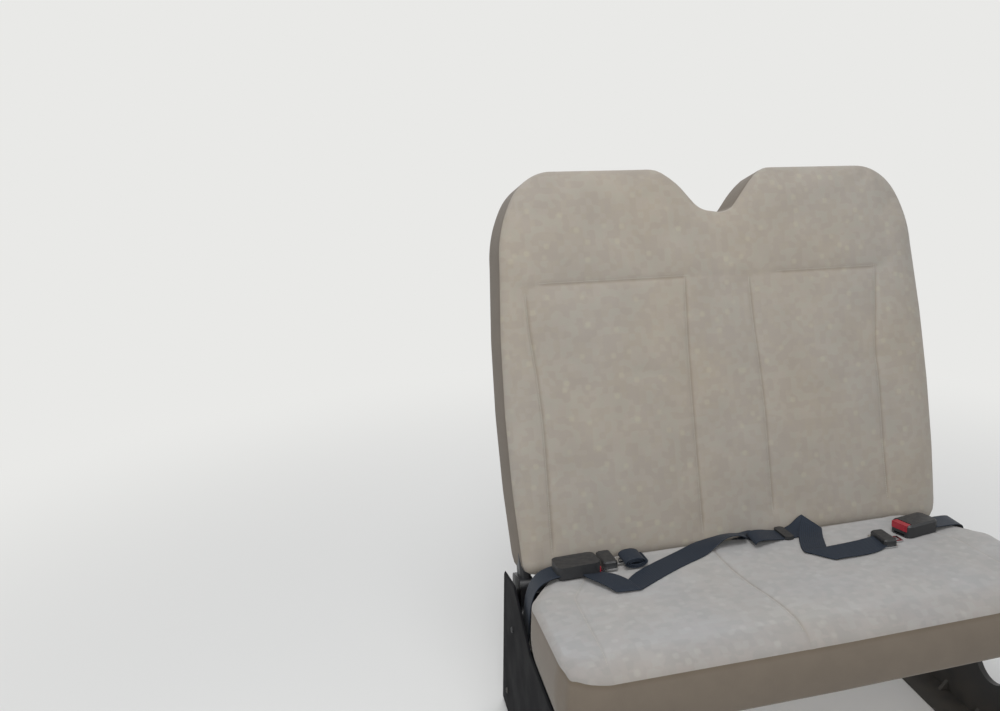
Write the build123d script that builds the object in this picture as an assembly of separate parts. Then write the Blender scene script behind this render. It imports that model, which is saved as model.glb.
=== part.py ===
from build123d import *
import math
import os

# Double passenger seat of a small bus, in millimetres. +X is the wall side, -Y is the way the
# sitters face, +Z is up, and the origin lies on the floor at the centre of the four floor bolts.

# Half of the whole seat's width: the cushion and the leg cover reach it, the rest is set in from it
seat_half = 446.0

# Backrest: one high pad for two places, with a notch between the two head stretches
recline_deg = 16.6
back_foot_y, back_foot_z = 92.0, 346.0
back_length = 723.0
back_thick_low, back_thick_top = 88.0, 100.0
back_inset, waist_bulge, shoulder_inset = 10.0, 9.0, 2.0
back_waist_s, shoulder_drop = 200.0, 163.0
shoulder_big_r, shoulder_small_r = 235.0, 95.6
back_corner_r = 24.0
notch_depth, notch_side_deg = 83.0, 52.0
notch_top_r, notch_foot_r = 60.0, 50.0
back_front_edge, back_rear_edge = 5.0, 12.0
seam_w, seam_deep = 3.0, 2.5
# Seams on the backrest's face: a level one below the head of each place, and a long one down
# each side of it, which stops short of the foot
head_seam_drop, seam_stop_s = 206.0, 60.0
inner_seams = [(-69.0, -75.0), (64.0, 73.0)]
outer_seams = [(-374.0, -366.0), (342.0, 328.0)]
outer_seam_drop = 14.0

# Cushion: one pad for two places, cut back at its rear corners for the belts
cushion_front_y, cushion_rear_y = -302.0, 88.0
cushion_front_bow = 4.0
cushion_base_z, cushion_rear_z = 282.3, 366.0
cushion_drop_deg = 4.5
cushion_nose_depth, cushion_nose_drop = 54.0, 33.0
seam_set_back, base_set_back = 12.0, 9.0
cushion_front_r = 62.0
belt_cut_x, belt_cut_y, belt_cut_r = 92.0, 150.0, 60.0
cushion_edge = 14.0
# x at the rear and at the front of the seams that run fore and aft over the cushion's top
cushion_seams = [(-366.0, -376.0), (-79.0, -61.0), (366.0, 376.0)]

# Board under the cushion
board_t, board_inset, board_front_y, board_rear_y = 12.0, 22.0, -272.0, 68.0
board_corner_r = 45.0
vent_r, vent_pitch, vent_count = 16.0, 190.0, 4

# Legs: pressed steel trays with a rim, flared lightening holes and a bolted foot
leg_inset, leg_rim, leg_wall = 16.0, 24.0, 3.0
leg_front_y, leg_rear_y, leg_front_slant = -218.0, 226.0, 16.0
leg_corner_r = 14.0
seat_rail_z = 270.0
back_gap = 8.0
foot_t, foot_w = 4.0, 68.0
bolt_inset, bolt_y, bolt_hole_r = 35.0, 180.0, 5.5
flare_lip, flare_wall = 8.0, 3.0
# y, z and radius of each flared hole
leg_holes = [(-130.0, 150.0, 46.0), (8.0, 125.0, 50.0), (138.0, 180.0, 42.0)]
# Darts pressed into the bend of the foot: their y, and their size
dart_ys = [-100.0, 0.0, 100.0]
dart_w, dart_reach = 8.0, 18.0

# Tubes
seat_tube_w, seat_tube_h, tube_wall, tube_r = 40.0, 30.0, 2.0, 5.0
front_tube_y, rear_tube_y = -180.0, 42.0
upright_w, upright_d, upright_r = 20.0, 40.0, 6.0
upright_below, upright_inside = 66.0, 92.0
back_rail_r, back_rail_s = 12.5, -30.0
brace_x, brace_w, brace_h = 150.0, 30.0, 20.0

# Moulded cover on the aisle leg
cover_depth, cover_wall, cover_gap = 74.0, 3.0, 3.3
cover_front_y, cover_rear_low_y, cover_rear_high_y = -232.0, 246.0, 184.0
cover_lift, cover_edge_r, cover_corner_r = 3.0, 8.0, 13.0
cover_step_back, cover_shoulder_gap, cover_rim_drop = 12.0, 10.0, 4.0
boss_r, boss_bore_r = 8.0, 2.2
# y and z of the bosses that carry the cover's screws
cover_bosses = [(-190.0, 60.0), (-190.0, 235.0), (180.0, 60.0), (104.0, 236.0)]

# Lap belts
web_w, web_t = 47.0, 1.6
tab_t, tab_z, tab_margin = 4.0, 250.0, 9.0
slot_clear = 2.0
centre_tab_apart, centre_tab_margin, centre_tab_lip = 3.0, 6.0, 12.0
outer_web_stand, outer_web_y = 5.6, 34.0
web_foot_z = 240.0
fit_gap = 0.3
web_bend_r, centre_web_reach, outer_web_bend_r = 3.0, 45.0, 16.0
buckle_l, buckle_w, buckle_h = 78.0, 52.0, 24.0
buckle_corner_r, buckle_edge = 12.0, 3.5
button_l, button_w, button_h = 13.0, 38.0, 13.0
button_proud, button_sunk = 1.0, 1.0
mouth_l, mouth_z, mouth_room = 16.0, 3.5, 1.0
tongue_l, tongue_w, tongue_t = 22.0, 24.0, 2.5
root_l, root_margin = 30.0, 9.0
web_slot, slot_at, window_l, window_w = 6.0, 0.6, 8.0, 12.0
grip_l, grip_margin, grip_h, grip_edge = 26.0, 5.0, 11.0, 2.5
keeper_l, keeper_margin, keeper_h = 18.0, 4.5, 6.0
hardware_corner = 4.0
# Each buckle: how far in from the seat's side, its y, its turn on the cushion, which points its
# mouth along the turned +x, and whether it lies on its back
buckles = {"aisle": (101.0, 31.0, 3.0, True), "wall": (134.0, -5.0, 192.0, False)}
# How far in from the seat's side the aisle webbing's fold lies, then its return, then each end
fold_inset, return_inset, aisle_end_inset, wall_end_inset = 170.0, 167.0, 180.0, 231.0
# Runs of each centre webbing on the cushion: start x, y, end x, y, and layers below
centre_runs = {
    "aisle": [
        (-12.0, 64.5, fold_inset - seat_half, -46.0, 0),
        (return_inset - seat_half, -70.0, aisle_end_inset - seat_half, 44.0, 1),
    ],
    "wall": [
        (8.0, 64.5, 132.0, 64.5, 0),
        (116.0, 88.0, 104.0, -58.0, 1),
        (84.0, -36.0, seat_half - wall_end_inset, -40.0, 2),
    ],
}
# Each tongue: how far in from the seat's side, its y, its turn, which points its blade along the
# turned -x, and the layers of webbing below it
tongues = {"aisle": (174.0, 46.0, 180.0, 2), "wall": (204.0, -31.0, 178.0, 0)}
keeper_x, keeper_y = 72.0, 64.5

os.makedirs("parts", exist_ok=True)


def save(name, shape):
    """Write one sub-part under its node's name."""
    export_step(shape, f"parts/{name}.step")


def mirrored(shape):
    """The same piece on the other side of the seat."""
    return mirror(shape, about=Plane.YZ)


def side_plane(x):
    """Sketch plane across the seat: local x runs along +Y, local y along +Z, normal +X."""
    return Plane(origin=(x, 0, 0), x_dir=(0, 1, 0), z_dir=(1, 0, 0))


def channel(plane, x0, y0, x1, y1):
    """Seam sewn between two panels of a cover, from one point of the panel's plane to another."""
    length = math.hypot(x1 - x0, y1 - y0)
    angle = math.degrees(math.atan2(y1 - y0, x1 - x0))
    line = Location((x0, y0), angle) * Rectangle(length, seam_w, align=(Align.MIN, Align.CENTER))
    return extrude(plane * line, -seam_deep)


recline = math.radians(recline_deg)
sin_r, cos_r = math.sin(recline), math.cos(recline)
back_plane = Plane(origin=(0, back_foot_y, back_foot_z), x_dir=(1, 0, 0), z_dir=(0, -cos_r, sin_r))
back_half = seat_half - back_inset
leg_outer_x = seat_half - leg_inset

drop = math.radians(cushion_drop_deg)
seat_plane = Plane(
    origin=(0, cushion_rear_y, cushion_rear_z),
    x_dir=(1, 0, 0),
    z_dir=(0, math.sin(drop), math.cos(drop)),
)


def on_back(depth, s):
    """Y and Z of a point behind the backrest's face, s up the slope."""
    y = back_foot_y + s * sin_r + depth * cos_r
    z = back_foot_z + s * cos_r - depth * sin_r
    return y, z


def seat_top_z(y):
    """Height of the cushion's top line."""
    return cushion_rear_z + (cushion_rear_y - y) * math.tan(drop)


def along_seat(y):
    """Where a y lies on the seat plane, measured down its slope from the rear edge."""
    return (y - cushion_rear_y) / math.cos(drop)


# Backrest

def back_outline():
    """Half outline mirrored: straight bottom, waisted side, two-arc shoulder and half notch."""
    shoulder_s = back_length - shoulder_drop
    inset = back_corner_r * (1 - math.sqrt(0.5))
    bottom = Line((0, 0), (back_half - back_corner_r, 0))
    corner = ThreePointArc(bottom @ 1, (back_half - inset, inset), (back_half, back_corner_r))
    side = ThreePointArc(
        corner @ 1, (back_half + waist_bulge, back_waist_s), (back_half - shoulder_inset, shoulder_s)
    )
    spread = shoulder_big_r - shoulder_small_r
    turn = math.degrees(math.asin((shoulder_drop - shoulder_small_r) / spread))
    lower = JernArc(side @ 1, (0, 1), shoulder_big_r, turn)
    upper = JernArc(lower @ 1, lower % 1, shoulder_small_r, 90 - turn)
    notch_in = math.radians(notch_side_deg)
    crest_s = notch_top_r * (1 - math.cos(notch_in))
    foot_s = notch_foot_r * (1 - math.cos(notch_in))
    slope_s = notch_depth - crest_s - foot_s
    slope_x = slope_s / math.tan(notch_in)
    crest_x = (notch_top_r + notch_foot_r) * math.sin(notch_in) + slope_x
    top = Line(upper @ 1, (crest_x, (upper @ 1).Y))
    crest = JernArc(top @ 1, (-1, 0), notch_top_r, notch_side_deg)
    slope = Line(crest @ 1, (crest @ 1) - Vector(slope_x, slope_s))
    foot = JernArc(slope @ 1, slope % 1, notch_foot_r, -notch_side_deg)
    close = Line(foot @ 1, (0, 0))
    half = make_face(Curve() + [bottom, corner, side, lower, upper, top, crest, slope, foot, close])
    return half + mirror(half, about=Plane.YZ)


def back_pad():
    """The outline drawn back to its depth, thinner at the foot, with its edges broken."""
    pad = extrude(back_plane * back_outline(), -back_thick_top)
    taper = math.degrees(math.atan((back_thick_top - back_thick_low) / back_length))
    rear = Plane(back_plane.offset(-back_thick_low).location * Location((0, 0, 0), (-taper, 0, 0)))
    pad = split(pad, bisect_by=rear, keep=Keep.TOP)
    face = pad.faces().sort_by(Axis(back_plane.origin, back_plane.z_dir))[-1]
    pad = chamfer(face.edges(), back_front_edge)
    back = pad.faces().filter_by(lambda f: f.area > back_half * back_length).sort_by(Axis.Y)[-1]
    return chamfer(back.edges(), back_rear_edge)


def upright(clearance=0.0):
    """Section of a back upright along the recline, grown by a clearance for its pocket."""
    centre_x = leg_outer_x - leg_wall - upright_w / 2
    width, depth = upright_w + 2 * clearance, upright_d + 2 * clearance
    section = RectangleRounded(width, depth, upright_r + clearance)
    foot_y, foot_z = on_back(back_thick_low / 2, -upright_below)
    plane = Plane(origin=(centre_x, foot_y, foot_z), x_dir=(1, 0, 0), z_dir=(0, sin_r, cos_r))
    return plane, section


def upright_tube():
    plane, section = upright()
    bore = RectangleRounded(
        upright_w - 2 * tube_wall, upright_d - 2 * tube_wall, upright_r - tube_wall
    )
    return extrude(plane * (section - bore), upright_below + upright_inside)


def upright_room():
    plane, section = upright(fit_gap)
    return extrude(plane * section, upright_below + upright_inside + fit_gap)


head_seam_s = back_length - head_seam_drop
backrest = back_pad() - upright_room() - mirrored(upright_room())
for (inner_top, inner_low), (outer_top, outer_low) in zip(inner_seams, outer_seams):
    backrest -= channel(back_plane, inner_top, head_seam_s, inner_low, seam_stop_s)
    backrest -= channel(back_plane, inner_top, head_seam_s, outer_top, head_seam_s)
    backrest -= channel(back_plane, outer_top, head_seam_s - outer_seam_drop, outer_low, seam_stop_s)
save("backrest_pad", backrest)
save("back_upright_wall", upright_tube())
save("back_upright_aisle", mirrored(upright_tube()))


def back_rail():
    """Round tube between the uprights, below the pad."""
    y, z = on_back(back_thick_low / 2, back_rail_s)
    length = 2 * (leg_outer_x - leg_wall - upright_w)
    plane = Plane(origin=(-length / 2, y, z), x_dir=(0, 1, 0), z_dir=(1, 0, 0))
    return extrude(plane * (Circle(back_rail_r) - Circle(back_rail_r - tube_wall)), length)


save("back_rail", back_rail())


# Cushion

def cushion_plan():
    """Bowed front, straight sides, and rear corners cut back where the outer belts come up."""
    bow_y = cushion_front_y + cushion_front_bow
    front_half = seat_half - cushion_front_r
    bow = ThreePointArc((-front_half, bow_y), (0, cushion_front_y), (front_half, bow_y))
    inset = cushion_front_r * (1 - math.sqrt(0.5))
    corner = ThreePointArc(
        bow @ 1, (seat_half - inset, bow_y + inset), (seat_half, bow_y + cushion_front_r)
    )
    side = FilletPolyline(
        corner @ 1,
        (seat_half, cushion_rear_y - belt_cut_y),
        (seat_half - belt_cut_x, cushion_rear_y),
        (0, cushion_rear_y),
        radius=belt_cut_r,
    )
    half = Curve() + [corner, side]
    return make_face(Curve() + [bow, half, mirror(half, about=Plane.YZ)])


def cushion_profile():
    """Section along the seat: bulged front, rounded nose and a top that drops to the rear."""
    nose_y = cushion_front_y + cushion_nose_depth
    nose_z = seat_top_z(nose_y)
    seam = (cushion_front_y + seam_set_back, nose_z - cushion_nose_drop)
    base = (cushion_front_y + base_set_back, cushion_base_z)
    front = ThreePointArc(base, (cushion_front_y, (cushion_base_z + seam[1]) / 2), seam)
    nose = TangentArc((nose_y, nose_z), seam, tangent=(-1, math.tan(drop)), tangent_from_first=True)
    rest = Polyline(
        (nose_y, nose_z), (cushion_rear_y, cushion_rear_z), (cushion_rear_y, cushion_base_z), base
    )
    return make_face(Curve() + [front, nose, rest])


def cushion_across():
    """Section across the seat, square to the top, with both top edges broken."""
    depth = cushion_rear_z
    section = Location((0, -depth / 2)) * Rectangle(2 * seat_half, depth)
    return chamfer(section.vertices().sort_by(Axis.Y)[-2:], cushion_edge)


def cushion_pad():
    """What the plan, the profile and the section across have in common."""
    tall = extrude(Plane.XY.offset(cushion_base_z) * cushion_plan(), seat_top_z(cushion_front_y))
    wide = extrude(side_plane(-seat_half) * cushion_profile(), 2 * seat_half)
    along = Plane(seat_plane.origin, x_dir=(1, 0, 0), z_dir=-seat_plane.y_dir)
    across = extrude(along * cushion_across(), 2 * cushion_rear_z, both=True)
    return tall & wide & across


cushion = cushion_pad()
for rear_x, front_x in cushion_seams:
    nose_y = cushion_front_y + cushion_nose_depth
    cushion -= channel(seat_plane, rear_x, 0, front_x, along_seat(nose_y))
save("cushion_pad", cushion)


def board():
    """Plywood board with rounded corners, and a row of vent holes between the cross tubes."""
    depth = board_rear_y - board_front_y
    middle = (board_rear_y + board_front_y) / 2
    between_tubes = (front_tube_y + rear_tube_y) / 2
    sheet = RectangleRounded(2 * (seat_half - board_inset), depth, board_corner_r)
    sheet = Location((0, middle - between_tubes)) * sheet
    vents = GridLocations(vent_pitch, vent_pitch, vent_count, 1) * Circle(vent_r)
    return extrude(Location((0, between_tubes, seat_rail_z)) * (sheet - vents), board_t)


save("cushion_board", board())


# Legs and cross tubes

def leg_outline(inset=0.0):
    """Foot, slanted front, level seat rail and the raised shoulder under the backrest."""
    front_y, front_z = on_back(back_gap, 0)
    rear_y, rear_z = on_back(back_thick_low, 0)
    points = [
        (leg_front_y + leg_front_slant, 0),
        (leg_rear_y, 0),
        (rear_y, rear_z - back_gap / cos_r),
        (front_y, front_z - back_gap / cos_r),
        (front_y, seat_rail_z),
        (leg_front_y, seat_rail_z),
    ]
    outline = make_face(Polyline(*points, close=True))
    outline = fillet(outline.vertices().sort_by(Axis.Y)[2:], leg_corner_r)
    return offset(outline, -inset) if inset else outline


def flare(y, z, radius):
    """Ring that turns a hole's edge in, as a dimpling die leaves it."""
    start = side_plane(leg_outer_x - leg_wall - flare_lip)
    ring = Location((y, z)) * (Circle(radius + flare_wall) - Circle(radius))
    return extrude(start * ring, flare_lip)


def dart(y):
    """Wedge pressed into the bend between the leg's web and its foot."""
    corner_x = leg_outer_x - leg_wall
    wedge = Polyline(
        (corner_x, foot_t), (corner_x - dart_reach, foot_t), (corner_x, foot_t + dart_reach), close=True
    )
    plane = Plane(origin=(0, y + dart_w / 2, 0), x_dir=(1, 0, 0), z_dir=(0, -1, 0))
    return extrude(plane * make_face(wedge), dart_w)


def leg():
    plane = side_plane(leg_outer_x)
    block = extrude(plane * leg_outline(), -leg_rim)
    room = extrude(side_plane(leg_outer_x - leg_wall) * leg_outline(leg_wall), -leg_rim)
    tray = block - room
    foot_front_y = leg_front_y + leg_front_slant
    foot = Box(foot_w, leg_rear_y - foot_front_y, foot_t, align=(Align.MAX, Align.MIN, Align.MIN))
    tray += Location((leg_outer_x, foot_front_y, 0)) * foot
    for y in dart_ys:
        tray += dart(y)
    for y, z, radius in leg_holes:
        tray += flare(y, z, radius)
        tray -= extrude(plane * (Location((y, z)) * Circle(radius)), -(leg_wall + flare_lip))
    for y in (-bolt_y, bolt_y):
        hole = Cylinder(bolt_hole_r, 2 * foot_t)
        tray -= Location((leg_outer_x - bolt_inset, y, foot_t / 2)) * hole
    for y in (front_tube_y, rear_tube_y):
        tray -= Location((0, y, seat_rail_z - seat_tube_h / 2)) * Box(
            2 * (leg_outer_x - leg_wall), seat_tube_w + 2 * fit_gap, seat_tube_h + 2 * fit_gap
        )
    return tray - upright_room()


save("leg_wall", leg())
save("leg_aisle", mirrored(leg()))


def cross_tube(y):
    """Rectangular tube welded between the two legs, flush with their seat rail."""
    length = 2 * (leg_outer_x - leg_wall)
    outer = RectangleRounded(seat_tube_w, seat_tube_h, tube_r)
    inner = RectangleRounded(
        seat_tube_w - 2 * tube_wall, seat_tube_h - 2 * tube_wall, tube_r - tube_wall
    )
    plane = Plane(
        origin=(-length / 2, y, seat_rail_z - seat_tube_h / 2), x_dir=(0, 1, 0), z_dir=(1, 0, 0)
    )
    return extrude(plane * (outer - inner), length)


save("front_cross_tube", cross_tube(front_tube_y))
save("rear_cross_tube", cross_tube(rear_tube_y))


def brace(x):
    """Fore-and-aft bar that ties the cross tubes together under the board."""
    length = rear_tube_y - front_tube_y - seat_tube_w
    bar = Box(brace_w, length, brace_h, align=(Align.CENTER, Align.MIN, Align.MAX))
    return Location((x, front_tube_y + seat_tube_w / 2, seat_rail_z)) * bar


save("brace_aisle_side", brace(-brace_x))
save("brace_wall_side", brace(brace_x))


# Moulded cover on the aisle leg

def cover_outline():
    """Level below the cushion, then up past the belt's corner to the backrest's foot."""
    shoulder_y, shoulder_z = on_back(0, 0)
    _, rear_z = on_back(back_thick_low, 0)
    step_y = cushion_rear_y - belt_cut_y + cover_step_back
    points = [
        (cover_front_y, cover_lift),
        (cover_rear_low_y, cover_lift),
        (cover_rear_high_y, rear_z - back_gap / 2),
        (shoulder_y - cover_shoulder_gap, shoulder_z - back_gap),
        (step_y, cushion_base_z - cover_gap),
        (cover_front_y, cushion_base_z - cover_gap),
    ]
    return make_face(Polyline(*points, close=True))


def cover():
    """Tray with its mouth towards the leg, open below, its rims cut away under the board."""
    outline = cover_outline()
    room = offset(outline, -cover_wall)
    outline = fillet(outline.vertices().sort_by(Axis.Y)[2:], cover_corner_r)
    body = extrude(side_plane(seat_half) * outline, -cover_depth)
    body = fillet(body.faces().sort_by(Axis.X)[-1].edges(), cover_edge_r)
    inside_x = seat_half - cover_wall
    middle_y = (cover_rear_low_y + cover_front_y) / 2
    below = Box(
        cover_depth,
        cover_rear_low_y - cover_front_y - 2 * cover_wall,
        4 * cover_lift,
        align=(Align.MAX, Align.CENTER, Align.CENTER),
    )
    above = Box(
        cover_depth, 4 * cover_rear_low_y, back_length, align=(Align.MAX, Align.CENTER, Align.MIN)
    )
    body -= extrude(side_plane(inside_x) * room, -cover_depth)
    body -= Location((inside_x, middle_y, 0)) * below
    body -= Location((inside_x, 0, seat_rail_z - cover_rim_drop)) * above
    for y, z in cover_bosses:
        ring = Location((y, z)) * (Circle(boss_r) - Circle(boss_bore_r))
        body += extrude(side_plane(inside_x) * ring, leg_outer_x - inside_x)
    return body


save("aisle_cover", mirrored(cover()))


# Lap belts

outer_web_x = leg_outer_x + outer_web_stand
centre_tab_x = web_w / 2 + centre_tab_margin + centre_tab_apart / 2
centre_web_y = (cushion_rear_y + back_foot_y) / 2


def outer_tab():
    """Anchor tab on a leg's outer face, slotted for the webbing."""
    reach = 2 * outer_web_stand
    plate = Location((leg_outer_x + reach / 2, outer_web_y)) * Rectangle(reach, web_w + 2 * tab_margin)
    slot = Location((outer_web_x, outer_web_y)) * Rectangle(
        web_t + 2 * slot_clear, web_w + 2 * slot_clear
    )
    return extrude(Plane.XY.offset(tab_z) * (plate - slot), tab_t)


def centre_tab():
    """Anchor tab on the rear cross tube's rear face."""
    root_y = rear_tube_y + seat_tube_w / 2
    reach = centre_web_y - root_y + centre_tab_lip
    plate = Location((centre_tab_x, root_y + reach / 2)) * Rectangle(
        web_w + 2 * centre_tab_margin, reach
    )
    slot = Location((centre_tab_x, centre_web_y)) * Rectangle(
        web_w + 2 * slot_clear, web_t + 2 * slot_clear
    )
    return extrude(Plane.XY.offset(tab_z) * (plate - slot), tab_t)


save("anchor_wall", outer_tab())
save("anchor_aisle", mirrored(outer_tab()))
save("anchor_centre_wall_side", centre_tab())
save("anchor_centre_aisle_side", mirrored(centre_tab()))


def from_side(side, inset):
    """X of a point set in from the seat's aisle or wall side."""
    return inset - seat_half if side == "aisle" else seat_half - inset


def lay(x, y, angle=0.0, lift=0.0):
    """Place on the cushion's top, turned about its normal and lifted off it."""
    return seat_plane.location * Location((x, along_seat(y), lift), (0, 0, angle))


def lying_web(x0, y0, x1, y1, layer):
    """Flat run of webbing on the cushion, on top of as many layers as stated."""
    length = math.hypot(x1 - x0, y1 - y0)
    angle = math.degrees(math.atan2(y1 - y0, x1 - x0))
    run = Box(length, web_w, web_t, align=(Align.MIN, Align.CENTER, Align.MIN))
    return lay(x0, y0, angle, fit_gap + layer * web_t) * run


def rising_web(x_end):
    """Outer webbing: up through its anchor's slot, over the cushion's cut corner and on to it."""
    land_z = seat_top_z(outer_web_y - web_w / 2) + fit_gap + web_t / 2
    path = FilletPolyline(
        (outer_web_x, web_foot_z), (outer_web_x, land_z), (x_end, land_z), radius=outer_web_bend_r
    )
    plane = Plane(
        origin=(0, outer_web_y + web_w / 2, 0), x_dir=(1, 0, 0), z_dir=(0, -1, 0)
    )
    return extrude(plane * trace(path, web_t), web_w)


def centre_web(x_centre):
    """Centre webbing: up through its slot and the gap, then forward on to the cushion."""
    end_y = cushion_rear_y - centre_web_reach
    rise = fit_gap + web_t / 2
    path = FilletPolyline(
        (centre_web_y, web_foot_z),
        (centre_web_y, seat_top_z(centre_web_y) + rise),
        (end_y, seat_top_z(end_y) + rise / math.cos(drop)),
        radius=web_bend_r,
    )
    return extrude(side_plane(x_centre - web_w / 2) * trace(path, web_t), web_w)


def cut_cornered(length, width):
    """Rectangle with its corners cut, as small moulded and pressed hardware has."""
    outline = Rectangle(length, width)
    return chamfer(outline.vertices(), hardware_corner)


def buckle_body():
    """Moulded shell, round-cornered, with a mouth for the tongue and a well for the button."""
    shell = extrude(RectangleRounded(buckle_l, buckle_w, buckle_corner_r), buckle_h)
    shell = chamfer(shell.faces().sort_by(Axis.Z)[-1].edges(), buckle_edge)
    well = Location((buckle_l / 2, 0, buckle_h)) * Box(2 * button_l, button_w, 2 * button_h)
    mouth = Location((buckle_l / 2, 0, mouth_z)) * Box(
        2 * mouth_l, tongue_w + 2 * mouth_room, tongue_t + mouth_room
    )
    return shell - well - mouth


def buckle_button():
    """Press button that fills the well, a little proud of the shell's end."""
    pad = extrude(Rectangle(button_l, button_w - 2 * fit_gap), button_h - button_sunk)
    start = (buckle_l - button_l) / 2 + button_proud
    return Location((start, 0, buckle_h - button_h + fit_gap)) * pad


def tongue_plate():
    """Steel tongue: a blade with its latch window, and a wide root, slotted for the webbing."""
    blade = Location((-tongue_l / 2, 0)) * Rectangle(tongue_l, tongue_w)
    root = Location((root_l / 2, 0)) * cut_cornered(root_l, web_w + 2 * root_margin)
    window = Location((-tongue_l * slot_at, 0)) * Rectangle(window_l, window_w)
    cut = Location((root_l * slot_at, 0)) * Rectangle(web_slot, web_w + slot_clear)
    return extrude(blade + root - window - cut, tongue_t)


def tongue_grip():
    """Moulded grip over the tongue's root, short of the root's ends and its webbing side."""
    grip = extrude(cut_cornered(grip_l, web_w + 2 * grip_margin), grip_h)
    return chamfer(grip.faces().sort_by(Axis.Z)[-1].edges(), grip_edge)


def keeper():
    """Moulded slide that straddles the webbing."""
    frame = extrude(cut_cornered(keeper_l, web_w + 2 * keeper_margin), keeper_h)
    return frame - Box(2 * keeper_l, web_w + slot_clear / 2, 2 * (web_t + fit_gap))


# Lap belt of each place: the buckle rides on the outer webbing, the tongue on the centre one
buckle_lift = 2 * fit_gap
for side, (inset, y, angle, on_back_side) in buckles.items():
    x = from_side(side, inset)
    seat = lay(x, y, angle, buckle_lift)
    if on_back_side:
        seat *= Location((0, 0, buckle_h), (180, 0, 0))
    save(f"buckle_{side}", seat * buckle_body())
    save(f"buckle_button_{side}", seat * buckle_button())
    turn = math.radians(angle)
    reach = abs(x) + buckle_l / 2 * abs(math.cos(turn)) + buckle_w / 2 * abs(math.sin(turn)) + fit_gap
    web = rising_web(reach)
    save(f"webbing_{side}", web if x > 0 else mirrored(web))

for side, runs in centre_runs.items():
    web = centre_web(centre_tab_x if side == "wall" else -centre_tab_x)
    for x0, y0, x1, y1, layer in runs:
        web += lying_web(x0, y0, x1, y1, layer)
    save(f"webbing_centre_{side}", web)

for side, (inset, y, angle, layers) in tongues.items():
    x = from_side(side, inset)
    lift = 2 * fit_gap + layers * web_t
    save(f"tongue_{side}", lay(x, y, angle, lift) * tongue_plate())
    over_root = lay(x, y, angle, lift + tongue_t) * Location((grip_l / 2, 0, 0))
    save(f"tongue_grip_{side}", over_root * tongue_grip())

save("belt_keeper", lay(keeper_x, keeper_y, lift=fit_gap) * keeper())
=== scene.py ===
import math

import bmesh
import bpy
import numpy as np
from mathutils import Matrix, Vector


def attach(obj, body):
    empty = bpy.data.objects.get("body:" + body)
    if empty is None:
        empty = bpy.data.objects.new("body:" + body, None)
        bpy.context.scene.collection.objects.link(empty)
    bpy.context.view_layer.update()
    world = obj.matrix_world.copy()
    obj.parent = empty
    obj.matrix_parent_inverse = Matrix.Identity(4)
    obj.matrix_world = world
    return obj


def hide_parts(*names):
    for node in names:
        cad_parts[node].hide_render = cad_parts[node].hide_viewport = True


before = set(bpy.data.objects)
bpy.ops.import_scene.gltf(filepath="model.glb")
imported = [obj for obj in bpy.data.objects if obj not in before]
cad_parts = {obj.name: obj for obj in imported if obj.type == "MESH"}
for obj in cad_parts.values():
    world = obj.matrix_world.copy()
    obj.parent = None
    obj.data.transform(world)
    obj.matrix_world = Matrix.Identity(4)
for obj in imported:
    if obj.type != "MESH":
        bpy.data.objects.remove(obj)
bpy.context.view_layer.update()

scene = bpy.context.scene
mm = 0.001


# Studio. A pale floor, broad soft lamps from above, from the front left, from the left and from
# behind, and a plain sky, at a level where a colour renders about as it is written.
def srgb(code):
    """Linear colour of an sRGB hex value."""
    parts = [int(code[i:i + 2], 16) / 255 for i in (0, 2, 4)]
    return [c / 12.92 if c <= 0.04045 else ((c + 0.055) / 1.055) ** 2.4 for c in parts] + [1.0]


def add_node(tree, kind, inputs=None, **settings):
    """Adds a shader node; inputs maps its sockets to values or to the sockets that feed them."""
    made = tree.nodes.new("ShaderNode" + kind)
    for name, value in settings.items():
        setattr(made, name, value)
    for socket, value in (inputs or {}).items():
        if isinstance(value, bpy.types.NodeSocket):
            tree.links.new(value, made.inputs[socket])
        else:
            made.inputs[socket].default_value = value
    return made


def new_material(name, inputs=None):
    """A material with one Principled shader, and the tree and shader to build on."""
    material = bpy.data.materials.new(name)
    material.use_nodes = True
    tree = material.node_tree
    shader = tree.nodes["Principled BSDF"]
    for socket, value in (inputs or {}).items():
        shader.inputs[socket].default_value = value
    return material, tree, shader


def mesh_object(name, bm, materials, smooth=True):
    """Turns a bmesh into an object of the scene, with its materials."""
    mesh = bpy.data.meshes.new(name)
    bm.to_mesh(mesh)
    bm.free()
    for material in materials:
        mesh.materials.append(material)
    mesh.polygons.foreach_set("use_smooth", [smooth] * len(mesh.polygons))
    made = bpy.data.objects.new(name, mesh)
    scene.collection.objects.link(made)
    return made


backdrop_colour = srgb("e9e9e7")


def backdrop_paint(tree, share=None):
    """The backdrop's plain colour, for what looks at it, in place of how it is lit."""
    path = add_node(tree, "LightPath")
    seen = add_node(tree, "Math", {0: path.outputs["Is Camera Ray"], 1: path.outputs["Is Glossy Ray"]},
                    operation="MAXIMUM")
    if share:
        seen = add_node(tree, "Math", {0: seen.outputs[0], 1: share}, operation="MULTIPLY")
    return seen.outputs[0]


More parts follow.
